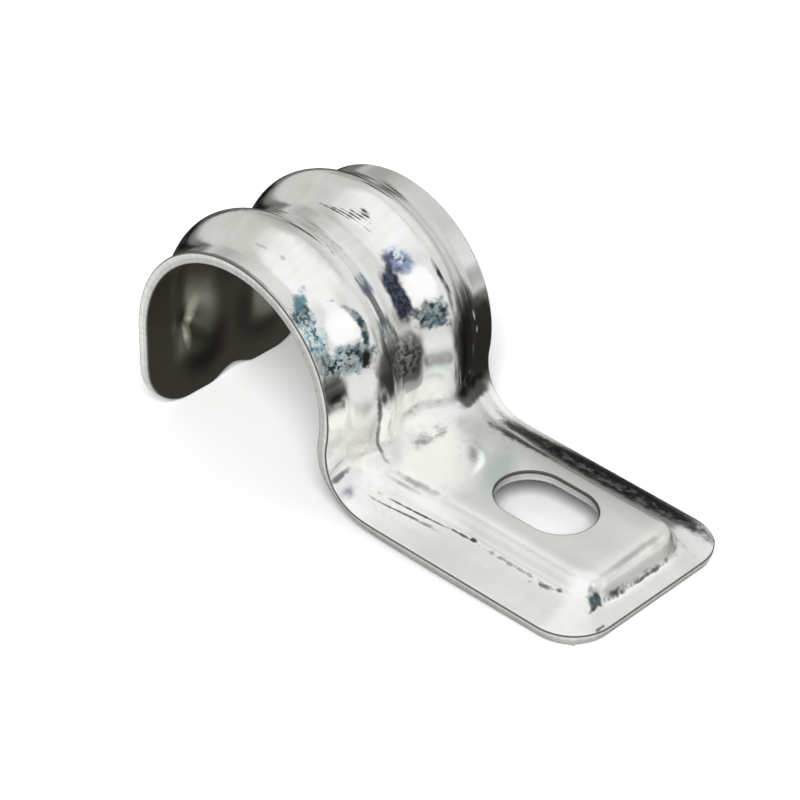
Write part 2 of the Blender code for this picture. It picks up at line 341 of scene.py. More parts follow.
@dataclass
class FootCorner:
    """The foot's end corner: a nest of rounded contours from the flat top out to the rim."""

    sizes: StrapSizes
    fine: Fineness

    def __post_init__(self) -> None:
        """Gives each contour its place at the side and at the end, its heights and its radius."""
        size, fine = self.sizes, self.fine
        side, end = FootFall(size, fine, size.side_lip_width), FootFall(size, fine, size.end_lip_width)
        (side_in, side_up), (end_in, end_up) = side.levels(), end.levels()
        flat = [size.plateau_rise] * fine.start_levels
        self.side = self.led(fine.corner_start, size.half_width - side.flat_inset, size.half_width - side_in)
        self.side_height = np.concatenate([flat, side_up])
        corner = size.plateau_corner_radius
        self.start_back = max(end.flat_inset + corner, size.foot_corner_radius) + corner
        self.end = self.led(self.start_back, end.flat_inset, end_in)
        self.end_height = np.concatenate([flat, end_up])
        lip_share = np.clip((side.lip_width - side_in) / (side.lip_width - fine.rim), 0.0, 1.0)
        grown = corner + side.flat_inset - np.maximum(side_in, side.lip_width)
        self.radius = self.led(0.0, corner, mix(grown, size.foot_corner_radius - fine.rim, lip_share))

    def led(self, start: float, end: float, rest: Array) -> Array:
        """Values with even steps from start up to, but not including, end put before them."""
        return np.concatenate([np.linspace(start, end, self.fine.start_levels + 1)[:-1], rest])

    def place(self, row: Grid, column: Grid) -> tuple[Array, Array, Array]:
        """Distance back from the tip, place across and height at each row and column.

        The contour's number is the greater of the two. The lesser, as a share of it, is how far
        the point has gone from the contour's end, along its straight and then round its arc, to
        the middle of the corner. The height turns from the side's to the end's with the arc's
        angle.

        Args:
            row: Rows at the end, counted from where the corner starts.
            column: Columns at the side, counted from where the corner starts.

        Returns:
            The three arrays, shaped as the rows and columns are.
        """
        contour = np.maximum(row, column)
        radius, side, end = self.radius[contour], self.side[contour], self.end[contour]
        by_side = column >= row
        straight = np.where(by_side, self.start_back - end - radius, side - radius - self.side[0])
        gone = (straight + math.pi / 4 * radius) * np.minimum(row, column) / np.maximum(contour, 1)
        on_line = np.minimum(gone, straight)
        angle = (gone - on_line) / np.maximum(radius, 1e-9)
        near, far = radius * np.sin(angle), radius * (1 - np.cos(angle))
        back = np.where(by_side, self.start_back - on_line - near, end + far)
        across = np.where(by_side, side - far, self.side[0] + on_line + near)
        round_by = np.where(by_side, angle, math.pi / 2 - angle)
        share = smoothstep(round_by, 0.0, math.pi / 2)
        return back, across, mix(self.side_height[contour], self.end_height[contour], share)


@dataclass
class StripSurface:
    """The strip's outer skin as a grid of points, with the free end and the tip cut to shape."""

    sizes: StrapSizes
    fine: Fineness

    def __post_init__(self) -> None:
        """Lays out the columns across the strip, on the foot and on the arch."""
        size, fine = self.sizes, self.fine
        self.line, self.corner = SideLine(size), FootCorner(size, fine)
        inner = np.linspace(0.0, fine.corner_start, fine.flat_columns + 1)[:-1]
        self.inside = len(inner)
        self.foot_y = np.concatenate([inner, self.corner.side])
        self.foot_up = np.concatenate([np.full(self.inside, size.plateau_rise), self.corner.side_height])
        rib_outer = size.valley_width / 2 + size.rib_width
        flat_columns = fine.flat_columns + fine.start_levels
        to_lip = len(self.foot_y) - 1 - flat_columns - fine.lip_levels
        self.arch_y = np.concatenate([
            np.linspace(0.0, size.crest, flat_columns + 1),
            np.linspace(size.crest, rib_outer, to_lip + 1)[1:],
            np.linspace(rib_outer, size.half_width - fine.rim, fine.lip_levels + 1)[1:],
        ])

    def rows(self, start: float, end: float) -> Array:
        """Even distances from start up to, but not including, end."""
        count = max(round((end - start) / self.fine.step), 1)
        return np.linspace(start, end, count + 1)[:-1]

    @cached_property
    def stations(self) -> Array:
        """Where the straight rows are, with two of them at the slot's frame.

        Returns:
            Their distances along the strip.
        """
        line, (near, far) = self.line, self.slot_frame
        ends = [0.0, line.arch_start, line.arch_end, line.bend_start, line.bend_end]
        ends += [line.tip - far, line.tip - near, line.tip - self.corner.start_back]
        return np.concatenate([self.rows(a, b) for a, b in zip(ends, ends[1:])])

    @property
    def slot_frame(self) -> Range:
        """The slot's surroundings along the foot: nearest and farthest distance from the tip."""
        reach = self.sizes.slot_length / 2 + self.fine.slot_margin
        return self.sizes.slot_setback - reach, self.sizes.slot_setback + reach

    def free_end(self, y: Array) -> Array:
        """How far the free end's rim is drawn back: its round corners and a notch.

        Args:
            y: Places across the strip.

        Returns:
            The distance at each place.
        """
        size, rim = self.sizes, self.fine.rim
        corner = corner_cut(size.half_width - rim - y, size.free_corner_radius - rim)
        return rim + corner + size.notch_depth * hill(y, 0.0, size.notch_width)

    def point(self, along: Array, arch_y: Array, foot_y: Array, foot_up: Array) -> Array:
        """The outer skin of one half, as (..., 3) points.

        The point is the side line's, raised along its normal by a blend from the rib's height to
        the foot's, and set across by a blend from its place on the arch to its place on the foot.

        Args:
            along: Distance along the strip.
            arch_y: Place across the arch.
            foot_y: Place across the foot.
            foot_up: Height on the foot.

        Returns:
            The points.
        """
        size, line = self.sizes, self.line
        turned = (along - line.bend_start) / (line.bend_end - line.bend_start)
        rise = smoothstep(turned, size.rise_start, size.rise_end)
        narrow = smoothstep(along, line.bend_start, line.bend_end + size.taper_length)
        fade = smoothstep(along, size.rib_end_gap, size.rib_end_gap + size.rib_run_out)
        rib = size.rib_height * hill(arch_y, size.crest, size.rib_width)
        base, normal = line.at(along)
        points = base + normal * mix(fade * rib, foot_up, rise)[..., None]
        points[..., 1] = mix(arch_y, foot_y, narrow)
        return points

    def half(self) -> tuple[Array, Array]:
        """One half of the skin: its straight rows, then the rows that turn round the corner.

        Returns:
            The points (rows, columns, 3) and the distances along the strip (rows, columns).
        """
        line, corner = self.line, self.corner
        along = np.repeat(self.stations[:, None], len(self.arch_y), 1)
        along = along + self.free_end(self.arch_y) * np.clip(1 - along / line.arch_start, 0.0, 1.0)
        across = (np.broadcast_to(row, along.shape) for row in (self.arch_y, self.foot_y, self.foot_up))
        straight = self.point(along, *across)
        levels = np.arange(len(corner.side))
        back, across, up = corner.place(*np.meshgrid(levels, levels, indexing="ij"))
        left = (len(levels), self.inside)
        back = np.hstack([np.broadcast_to(corner.end[:, None], left), back])
        across = np.hstack([np.broadcast_to(self.foot_y[:self.inside], left), across])
        up = np.hstack([np.broadcast_to(corner.end_height[:, None], left), up])
        end_along = line.tip - back
        ending = self.point(end_along, np.broadcast_to(self.arch_y, end_along.shape), across, up)
        along = np.concatenate([along, end_along])
        return self.ease(np.concatenate([straight, ending]), along), along

    def ease(self, points: Array, along: Array) -> Array:
        """Softens the skin as pressing does: most where the bend meets the foot, a little on it.

        Args:
            points: The skin's grid.
            along: Distances along the strip, on the same grid.

        Returns:
            The eased grid.
        """
        line, fine, fade = self.line, self.fine, self.fine.ease_fade
        near = smoothstep(along, line.bend_start - fade, line.bend_start + fade)
        near = near * (1 - smoothstep(along, line.bend_end + fade, line.bend_end + 3 * fade))
        points = mix(points, bell_mean(points, fine.bend_ease, 0), near[..., None])
        on_foot = smoothstep(along, line.bend_end - fade, line.bend_end + fade)
        softer = bell_mean(bell_mean(points, fine.foot_ease, 0), fine.foot_ease, 1)
        return mix(points, softer, on_foot[..., None])

    def whole(self) -> tuple[Array, Array]:
        """Both halves together, mirrored about the middle of the strip.

        Returns:
            Points (rows, columns, 3) and the strip coordinates (rows, columns, 2), the distance
            along and the place across, in metres.
        """
        points, along = self.half()
        y = points[..., 1]
        mirror = points[:, :0:-1] * np.array([1.0, -1.0, 1.0])
        along = np.concatenate([along[:, :0:-1], along], 1)
        across = np.concatenate([-y[:, :0:-1], y], 1)
        return np.concatenate([mirror, points], 1), np.stack([along, across], -1)


@dataclass
class MeshParts:
    """Collects points, with their strip coordinates, cut and depth, and the quads between them."""

    points: list[Array] = field(default_factory=list)
    quads: list[Grid] = field(default_factory=list)
    count: int = 0

    def add(self, points: Array, strip: Array, cut: float | Array, depth: float | Array) -> Grid:
        """Adds points and returns their numbers.

        Args:
            points: The points, (..., 3).
            strip: Distance along and place across the strip, (..., 2).
            cut: 0 on a skin, and the kind of cut elsewhere, (..., 1).
            depth: How deep it lies below the outer skin, 1 on the inner skin, (..., 1).

        Returns:
            The numbers of the new points, shaped as the points are.
        """
        shape = points.shape[:-1]
        given = ((points, 3), (strip, 2), (cut, 1), (depth, 1))
        self.points.append(np.concatenate([np.broadcast_to(value, (*shape, width)).reshape(-1, width)
                                           for value, width in given], 1))
        start, self.count = self.count, self.count + len(self.points[-1])
        return np.arange(start, self.count).reshape(shape)

    def sheet(self, numbers: Grid, keep: NDArray[np.bool_] | None = None) -> None:
        """Adds the quads between the rows and columns of a grid of points.

        Args:
            numbers: The grid of point numbers.
            keep: Which cells get a quad. All of them if it is left out.
        """
        corners = [numbers[:-1, :-1], numbers[1:, :-1], numbers[1:, 1:], numbers[:-1, 1:]]
        quads = np.stack(corners, -1)
        self.quads.append(quads[keep] if keep is not None else quads.reshape(-1, 4))

    def band(self, rings: Grid) -> None:
        """Adds the quads between closed rings, one ring to a row."""
        self.sheet(np.concatenate([rings, rings[:, :1]], 1))

    def mesh(self, name: str) -> bpy.types.Mesh:
        """Makes the mesh, with its strip coordinates as a UV map, and its cut and depth as values.

        Args:
            name: The mesh's name.

        Returns:
            The mesh.
        """
        points, quads = np.concatenate(self.points), np.concatenate(self.quads)
        mesh = bpy.data.meshes.new(name)
        mesh.vertices.add(len(points))
        mesh.vertices.foreach_set("co", points[:, :3].astype(np.float32).ravel())
        mesh.loops.add(quads.size)
        mesh.loops.foreach_set("vertex_index", quads.astype(np.int32).ravel())
        mesh.polygons.add(len(quads))
        mesh.polygons.foreach_set("loop_start", np.arange(0, quads.size, 4, dtype=np.int32))
        mesh.update(calc_edges=True)
        strip = points[quads.ravel(), 3:5] / STRIP_UNIT
        mesh.uv_layers.new(name="strip").uv.foreach_set("vector", strip.astype(np.float32).ravel())
        for key, column in (("cut_edge", 5), ("depth", 6)):
            values = mesh.attributes.new(key, "FLOAT", "POINT").data
            values.foreach_set("value", points[:, column].astype(np.float32))
        mesh.shade_smooth()
        return mesh


class CutKind(Enum):
    """The two kinds of cut through the sheet, as the finish reads them from the mesh."""

    SHEARED = 1.0
    PUNCHED = 2.0


@dataclass(frozen=True)
class Cut:
    """A closed cut through the sheet, with one rim point for each point of a frame round it.

    Row and column say where the frame is. The rim, its strip coordinates, the normals and the
    vectors out of the sheet lie on the outer skin, and rings says how many lead in to the rim.
    """

    row: Grid
    column: Grid
    rim: Array
    strip: Array
    normal: Array
    outward: Array
    kind: CutKind
    rings: int


@dataclass
class Strap:
    """The strap as one closed mesh: two skins, the rounded cut edge round them and the slot."""

    sizes: StrapSizes
    fine: Fineness

    def __post_init__(self) -> None:
        """Computes both skins, the inner one a sheet's thickness along the outer one's normals."""
        self.surface = StripSurface(self.sizes, self.fine)
        self.outer, self.strip = self.surface.whole()
        self.normal = unit(np.cross(*np.gradient(self.outer, axis=(0, 1))))
        self.inner = self.outer - self.normal * self.sizes.sheet

    def slot_cells(self) -> tuple[slice, slice]:
        """The rows and the columns of points that frame the slot.

        Returns:
            The two stretches.
        """
        surface, (near, far) = self.surface, self.surface.slot_frame
        first, last = (nearest(surface.stations, surface.line.tip - back) for back in (far, near))
        middle = self.outer.shape[1] // 2
        half = nearest(surface.foot_y, self.sizes.slot_width / 2 + self.fine.slot_margin)
        return slice(first, last + 1), slice(middle - half, middle + half + 1)

    def edge_profile(self) -> tuple[Array, Array]:
        """The sheared edge's shape: how far out it stands and how deep below the outer skin.

        From the outer skin a quarter round rolls over to a straight land, then the torn zone
        falls back a little, and a quarter of an ellipse turns it into the inner skin.

        Returns:
            The reaches and the depths, without the two skins' own points.
        """
        sheet, fine = self.sizes.sheet, self.fine
        turn = np.linspace(0.0, math.pi / 2, fine.edge_steps + 1)[1:]
        back = np.linspace(0.0, math.pi / 2, fine.edge_steps)[:-1]
        land, torn = fine.land * sheet, fine.rim - fine.tear_depth
        reach = np.concatenate([fine.rim * np.sin(turn), [fine.rim], [torn], torn * np.cos(back)])
        depth = np.concatenate([fine.rim * (1 - np.cos(turn)), [land], [land + fine.tear_depth],
                                sheet - fine.burr + fine.burr * np.sin(back)])
        return reach, depth

    def outer_cut(self) -> Cut:
        """The sheared edge, once round the whole grid.

        Returns:
            The cut.
        """
        row, column = once_round(*(slice(0, count) for count in self.outer.shape[:2]))
        loop, normal = self.outer[row, column], self.normal[row, column]
        outward = unit(np.cross(normal, np.roll(loop, -1, 0) - np.roll(loop, 1, 0)))
        return Cut(row, column, loop, self.strip[row, column], normal, outward, CutKind.SHEARED, 0)

    def slot_cut(self, rows: slice, columns: slice) -> Cut:
        """The punched slot.

        In the plateau's plane, each frame point looks at the nearest point of the line between
        the slot's two end centres. Its rim point lies half a slot's width and a rim from there.

        Args:
            rows: The rows that frame the slot.
            columns: The columns that frame it.

        Returns:
            The cut.
        """
        size, line = self.sizes, self.surface.line
        row, column = once_round(rows, columns)
        normal = self.normal[rows.start, self.outer.shape[1] // 2]
        middle = line.tip - size.slot_setback
        base = line.at(np.array([middle]))[0][0]
        centre = base + normal * size.plateau_rise
        forward = np.array([normal[2], 0.0, -normal[0]])
        ahead, aside = (self.outer[row, column] - centre) @ forward, self.outer[row, column, 1]
        straight = (size.slot_length - size.slot_width) / 2
        held = np.clip(ahead, -straight, straight)
        away = unit(np.stack([ahead - held, aside], -1))
        spoke = away[:, :1] * forward + away[:, 1:] * np.array([0.0, 1.0, 0.0])
        rim = centre + forward * held[:, None] + spoke * (size.slot_width / 2 + self.fine.rim)
        strip = np.stack([middle + (rim - base) @ forward, rim[:, 1]], -1)
        return Cut(row, column, rim, strip, normal, -spoke, CutKind.PUNCHED, self.fine.slot_rings)

    def join(self, parts: MeshParts, numbers: Grid, cut: Cut) -> None:
        """Leads the outer skin in to a cut's rim, through the sheet and out to the inner skin.

        Args:
            parts: What the cut is added to.
            numbers: Point numbers of the outer and of the inner skin.
            cut: The cut.
        """
        share = np.linspace(0.0, 1.0, cut.rings + 1)[1:, None, None]
        lead = mix(self.outer[cut.row, cut.column], cut.rim, share)
        strip = mix(self.strip[cut.row, cut.column], cut.strip, share)
        reach, below = (values[:, None, None] for values in self.edge_profile())
        through = cut.rim + cut.outward * reach - cut.normal * below
        rings = np.concatenate([lead, through, lead[::-1] - cut.normal * self.sizes.sheet])
        rim_strip = np.broadcast_to(cut.strip, (*through.shape[:-1], 2))
        outside, inside = np.zeros_like(share), np.ones_like(share)
        kind = np.concatenate([outside, np.full_like(below, cut.kind.value), outside])
        depth = np.concatenate([outside, below / self.sizes.sheet, inside])
        middle = parts.add(rings, np.concatenate([strip, rim_strip, strip[::-1]]), kind, depth)
        outer, inner = numbers[:, None, cut.row, cut.column]
        band = np.vstack([outer, middle, inner])
        parts.band(band[:, ::-1] if cut.kind is CutKind.SHEARED else band)

    def build(self) -> bpy.types.Mesh:
        """Puts the skins, the edge and the slot together.

        Returns:
            The closed mesh, with its faces pointing outwards.
        """
        parts = MeshParts()
        rows, columns = self.slot_cells()
        shape = self.outer.shape[:2]
        keep = np.ones((shape[0] - 1, shape[1] - 1), bool)
        keep[rows.start:rows.stop - 1, columns.start:columns.stop - 1] = False
        used = np.ones(shape, bool)
        used[rows.start + 1:rows.stop - 1, columns.start + 1:columns.stop - 1] = False
        numbers = np.full((2, *shape), -1)
        for level, points in enumerate((self.outer, self.inner)):
            numbers[level][used] = parts.add(points[used], self.strip[used], 0.0, float(level))
        parts.sheet(numbers[0], keep)
        parts.sheet(numbers[1, :, ::-1], keep[:, ::-1])
        for cut in (self.outer_cut(), self.slot_cut(rows, columns)):
            self.join(parts, numbers, cut)
        return parts.mesh("strap_sheet")

    def dress(self, material: bpy.types.Material) -> bpy.types.Object:
        """Makes the piece in its finish and puts it in the solid's place.

        Args:
            material: The finish.

        Returns:
            The piece.
        """
        mesh = self.build()
        mesh.materials.append(material)
        strap = bpy.data.objects.new("strap_sheet", mesh)
        bpy.context.scene.collection.objects.link(strap)
        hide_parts("strap")
        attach(strap, "root")
        return strap


@dataclass(frozen=True)
class PhotoCamera:
    """The camera that took the photograph, fitted to the strap's outlines in it.

    Its azimuth is counted from -Y towards +X. The lens and the sensor are in millimetres.
    """

    azimuth: float = math.radians(41.698)
    elevation: float = math.radians(34.265)
    roll: float = math.radians(1.513)
    place: Triple = (0.138614, -0.158435, 0.150273)
    lens: float = 153.888
    sensor: float = 36.0
    closest: float = 1 * MM

    def build(self) -> None:
        """Makes the camera and gives it to the scene."""
        data = bpy.data.cameras.new("photo_camera")
        data.sensor_width, data.lens, data.clip_start = self.sensor, self.lens, self.closest
        camera = bpy.data.objects.new("photo_camera", data)
        turns = ((self.azimuth, "Z"), (math.pi / 2 - self.elevation, "X"), (self.roll, "Z"))
        about_z, about_x, rolled = (Matrix.Rotation(angle, 4, axis) for angle, axis in turns)
        camera.matrix_world = Matrix.Translation(self.place) @ about_z @ about_x @ rolled
        bpy.context.scene.collection.objects.link(camera)
        bpy.context.scene.camera = camera


@dataclass
class Nodes:
    """A node tree under construction: adds nodes, joins them and sets their fixed values."""

    tree: bpy.types.NodeTree

    def feed(self, socket: Socket, value: object) -> None:
        """Joins a socket to an input, or sets the input's own value.

        Args:
            socket: The input.
            value: A socket or a value.
        """
        if isinstance(value, Socket):
            self.tree.links.new(value, socket)
        else:
            socket.default_value = value

    def add(self, kind: str, settings: dict[str, object] | None = None, **inputs: object) -> bpy.types.Node:
        """Adds a node.

        Args:
            kind: The node's type, such as "ShaderNodeMath".
            settings: The node's own properties.
            **inputs: Sockets or values by input name, with _ for a space.

        Returns:
            The node.
        """
        node = self.tree.nodes.new(kind)
        for name, value in (settings or {}).items():
            setattr(node, name, value)
        for name, value in inputs.items():
            self.feed(node.inputs[name.replace("_", " ")], value)
        return node

    def run(self, kind: str, settings: dict[str, object], places: dict[int, object],
            output: int | str = 0) -> Socket:
        """Adds a node whose inputs are known by their places.

        Args:
            kind: The node's type.
            settings: The node's own properties.
            places: Sockets or values by the place of their input.
            output: The place or the name of the output.

        Returns:
            The output.
        """
        node = self.add(kind, settings)
        for place, value in places.items():
            self.feed(node.inputs[place], value)
        return node.outputs[output]

    def math(self, operation: str, *values: object) -> Socket:
        """Adds a sum on one or two numbers and returns its result."""
        return self.run("ShaderNodeMath", {"operation": operation}, dict(enumerate(values)))

    def vector(self, operation: str, first: object, second: object) -> Socket:
        """Adds a sum on two vectors and returns its vector, or its number for a dot product."""
        output = "Value" if operation == "DOT_PRODUCT" else "Vector"
        return self.run("ShaderNodeVectorMath", {"operation": operation}, {0: first, 1: second}, output)

    def ramp(self, value: object, low: object, high: object, start: float = 0.0, end: float = 1.0) -> Socket:
        """A smooth step from start to end as the value goes from low to high."""
        places = dict(enumerate((value, low, high, start, end)))
        return self.run("ShaderNodeMapRange", {"interpolation_type": "SMOOTHSTEP"}, places)

    def within(self, far: object, softness: object) -> Socket:
        """1 where a distance is well below 1 and 0 well above it, with softness to either side."""
        low, high = (self.math(operation, 1.0, softness) for operation in ("SUBTRACT", "ADD"))
        return self.ramp(far, low, high, 1.0, 0.0)

    def blend(self, share: object, first: object, second: object, mode: str = "MIX") -> Socket:
        """Mixes two colours, the node's inputs 6 and 7, and returns their mix, its output 2."""
        settings = {"data_type": "RGBA", "blend_type": mode}
        return self.run("ShaderNodeMix", settings, {0: share, 6: first, 7: second}, 2)


def mask_group(name: str, vectors: tuple[str, ...], numbers: tuple[str, ...]) -> Nodes:
    """Starts a node group that puts out a mask.

    Args:
        name: The group's name.
        vectors: Names of its vector inputs.
        numbers: Names of its number inputs.

    Returns:
        The group's tree, under construction.
    """
    tree = bpy.data.node_groups.new(name, "ShaderNodeTree")
    for names, kind in ((vectors, "NodeSocketVector"), (numbers, "NodeSocketFloat")):
        for socket in names:
            tree.interface.new_socket(socket, in_out="INPUT", socket_type=kind)
    tree.interface.new_socket("Mask", in_out="OUTPUT", socket_type="NodeSocketFloat")
    return Nodes(tree)


def grey(value: float, warmth: float = 0.0, green: float = 0.0) -> Colour:
    """A grey as the screen shows it, 0 to 255, made linear and a little warmer or greener."""
    linear = Color((value / 255,) * 3).from_srgb_to_scene_linear().r
    return linear * (1 + warmth), linear * (1 + green), linear * (1 - warmth), 1.0


@dataclass(frozen=True)
class Glow:
    """A soft patch of the studio's surroundings, as the metal sees it.

    Its place and its half sizes are in degrees. Azimuth 0 is +X and 90 is +Y. Tone is the grey
    that the metal shows in it, 0 to 255.
    """

    name: str
    azimuth: float
    elevation: float
    half_across: float
    half_up: float
    tone: float
    warmth: float = 0.0
    green: float = 0.0
    softness: float = 0.5

    def axes(self) -> tuple[Array, Array, Array]:
        """Unit vectors to the patch's middle, across it and up it.

        Returns:
            The three vectors, those across and up divided by the tangents of the half sizes.
        """
        turn = math.radians(self.azimuth)
        middle = towards(self.azimuth, self.elevation)
        across = np.array([-math.sin(turn), math.cos(turn), 0.0])
        wide, high = math.tan(math.radians(self.half_across)), math.tan(math.radians(self.half_up))
        return middle, across / wide, np.cross(middle, across) / high


STUDIO_GLOWS = (
    Glow("overhead", 0, 90, 37, 37, 238),
    Glow("back wall", 85, 28, 32, 30, 204, 0.01, 0.02, softness=0.4),
    Glow("back wall, middle", 95, 30, 24, 24, 222),
    Glow("left wall", 160, 28, 30, 32, 196, 0.02, 0.03, softness=0.4),
    Glow("left bench", 146, -6, 20, 9, 112, 0.02),
    Glow("under the left bench", 154, -17, 11, 5.5, 14),
    Glow("left corner", 132, 19, 13, 11, 172, 0.01, 0.02),
    Glow("front wall", -78, 28, 40, 40, 243, softness=0.3),
    Glow("front bench", -122, -6, 24, 14, 205, softness=0.6),
    Glow("right haze", 20, 34, 32, 25, 226, -0.01),
    Glow("window", -24, 31, 19, 13, 246, softness=0.35),
    Glow("sill", -24, 8, 12, 5, 185, softness=0.6),
    Glow("low front", -17, -13, 19, 13, 228),
    Glow("right bench", 30, -4, 18, 5, 100, 0.02),
    Glow("right post", 38, 12, 9, 7, 166, 0.01, softness=0.6),
    Glow("right corner", 60, -8, 10, 8, 90, 0.02, softness=0.6),
    Glow("back bench", 103, -9, 17, 9, 184, 0.01, 0.01),
    Glow("door", 119, 10, 7, 6, 60),
    Glow("floor patch", -15, -34, 6, 8, 160, 0.05, softness=0.6),
)


@dataclass(frozen=True)
class Band:
    """A step in the plain tone of the surroundings, between two heights on the unit sphere."""

    low: float
    high: float
    tone: float
    warmth: float


@dataclass(frozen=True)
class Sun:
    """A far, wide light: its place and its width in degrees, and its watts on a square metre."""

    name: str
    azimuth: float
    elevation: float
    spread: float
    strength: float

    def build(self) -> None:
        """Makes the light, which neither the metal nor the camera sees."""
        data = bpy.data.lights.new(self.name, "SUN")
        data.energy, data.angle = self.strength, math.radians(self.spread)
        light = bpy.data.objects.new(self.name, data)
        direction = Vector(towards(self.azimuth, self.elevation))
        light.rotation_euler = direction.to_track_quat("Z", "Y").to_euler()
        light.visible_glossy = light.visible_camera = False
        bpy.context.scene.collection.objects.link(light)


@dataclass(frozen=True)
class Studio:
    """A pale floor, soft light and the surroundings that the metal reflects.

    The later glows lie over the earlier ones. Plain light is how bright the surroundings are for
    all but the metal and the camera, and metal gain how bright the metal sees them.
    """

    glows: tuple[Glow, ...]
    below: Colour = grey(52, 0.08)
    bands: tuple[Band, ...] = (Band(-0.8, -0.2, 60, 0.06), Band(-0.16, 0.04, 196, 0.02))
    suns: tuple[Sun, ...] = (Sun("soft front", -51, 44, 25, 3.4), Sun("soft back", 52, 48, 50, 0.4))
    plain_light: float = 0.44
    metal_gain: float = 1.09
    least_ahead: float = 0.05
    floor_half: float = 4.0
    floor_colour: Colour = (0.93, 0.93, 0.93, 1.0)
    floor_roughness: float = 0.9

    def glow_group(self) -> bpy.types.ShaderNodeTree:
        """A node group: 1 inside a soft-edged oval of directions and 0 outside it.

        Across and up are the direction's parts along the patch's axes over its part along the
        middle, each divided by the patch's half size. Their hypotenuse is compared with 1.

        Returns:
            The group.
        """
        nodes = mask_group("glow mask", ("Direction", "Middle", "Across", "Up"), ("Softness",))
        given = nodes.add("NodeGroupInput").outputs
        ahead, across, up = (nodes.vector("DOT_PRODUCT", given["Direction"], given[name])
                             for name in ("Middle", "Across", "Up"))
        held = nodes.math("MAXIMUM", ahead, self.least_ahead)
        squares = (nodes.math("POWER", nodes.math("DIVIDE", part, held), 2.0) for part in (across, up))
        distance = nodes.math("SQRT", nodes.math("ADD", *squares))
        front = nodes.math("GREATER_THAN", ahead, self.least_ahead)
        mask = nodes.within(distance, given["Softness"])
        nodes.add("NodeGroupOutput", Mask=nodes.math("MULTIPLY", mask, front))
        return nodes.tree

    def surroundings(self) -> None:
        """Paints the world: white for the camera, the glows for the metal, plain for the rest."""
        world = bpy.data.worlds.new("studio")
        world.use_nodes = True
        bpy.context.scene.world = world
        world.node_tree.nodes.clear()
        nodes, group = Nodes(world.node_tree), self.glow_group()
        direction = nodes.add("ShaderNodeTexCoord").outputs["Generated"]
        height = nodes.add("ShaderNodeSeparateXYZ", Vector=direction).outputs["Z"]
        colour = self.below
        for band in self.bands:
            share = nodes.ramp(height, band.low, band.high)
            colour = nodes.blend(share, colour, grey(band.tone, band.warmth))
        for glow in self.glows:
            middle, across, up = glow.axes()
            settings = {"node_tree": group, "label": glow.name}
            mask = nodes.add("ShaderNodeGroup", settings, Direction=direction, Middle=middle,
                             Across=across, Up=up, Softness=glow.softness).outputs["Mask"]
            colour = nodes.blend(mask, colour, grey(glow.tone, glow.warmth, glow.green))
        path = nodes.add("ShaderNodeLightPath").outputs
        shown = nodes.add("ShaderNodeBackground", Color=WHITE, Strength=self.plain_light).outputs[0]
        seen = (("Is Glossy Ray", colour, self.metal_gain), ("Is Camera Ray", WHITE, 1.0))
        for ray, tone, strength in seen:
            light = nodes.add("ShaderNodeBackground", Color=tone, Strength=strength).outputs[0]
            shown = nodes.run("ShaderNodeMixShader", {}, {0: path[ray], 1: shown, 2: light})
        nodes.add("ShaderNodeOutputWorld", Surface=shown)

    def floor(self) -> None:
        """Lays a wide pale floor at the strap's foot, which the metal doesn't reflect."""
        half = self.floor_half
        mesh = bpy.data.meshes.new("floor")
        corners = [(-half, -half, 0), (half, -half, 0), (half, half, 0), (-half, half, 0)]
        mesh.from_pydata(corners, [], [(0, 1, 2, 3)])
        material = bpy.data.materials.new("pale floor")
        material.use_nodes = True
        shader = material.node_tree.nodes["Principled BSDF"]
        for name, value in (("Base Color", self.floor_colour), ("Roughness", self.floor_roughness),
                            ("Specular IOR Level", 0.0)):
            shader.inputs[name].default_value = value
        mesh.materials.append(material)
        floor = bpy.data.objects.new("floor", mesh)
        bpy.context.scene.collection.objects.link(floor)
        floor.visible_glossy = False

    def build(self) -> None:
        """Sets up the surroundings, the floor and the light, and plain screen colours."""
        self.surroundings()
        self.floor()
        for sun in self.suns:
            sun.build()
        view = bpy.context.scene.view_settings
        view.view_transform, view.look = "Standard", "None"
        view.exposure, view.gamma = 0.0, 1.0


class Outline(Enum):
    """The outline of a mark: the power to which its two parts are raised before they are added."""

    OVAL = 2.0
    BOX = 5.0


@dataclass(frozen=True)
class Noise:
    """A noise by the millimetre, 0 below low and 1 above high, drawn out by three factors."""

    scale: float
    detail: float
    low: float = 0.0
    high: float = 1.0
    drawn: Triple = (1.0, 1.0, 1.0)
    roughness: float = 0.5

    def value(self, nodes: Nodes, place: Socket) -> Socket:
        """The noise as it is, about 0.5.

        Args:
            nodes: The tree it is added to.
            place: Where it is read, in millimetres.

        Returns:
            The noise.
        """
        drawn = nodes.vector("MULTIPLY", place, self.drawn)
        return nodes.add("ShaderNodeTexNoise", Vector=drawn, Scale=self.scale, Detail=self.detail,
                         Roughness=self.roughness).outputs["Fac"]

    def share(self, nodes: Nodes, place: Socket) -> Socket:
        """The noise as a share, from 0 at low to 1 at high."""
        return nodes.ramp(self.value(nodes, place), self.low, self.high)


class Grain(Enum):
    """The noise that breaks a mark up."""

    COARSE = Noise(1.3, 2.0, 0.43, 0.57, roughness=0.6)
    FINE = Noise(2.1, 2.0, 0.43, 0.57, roughness=0.6)


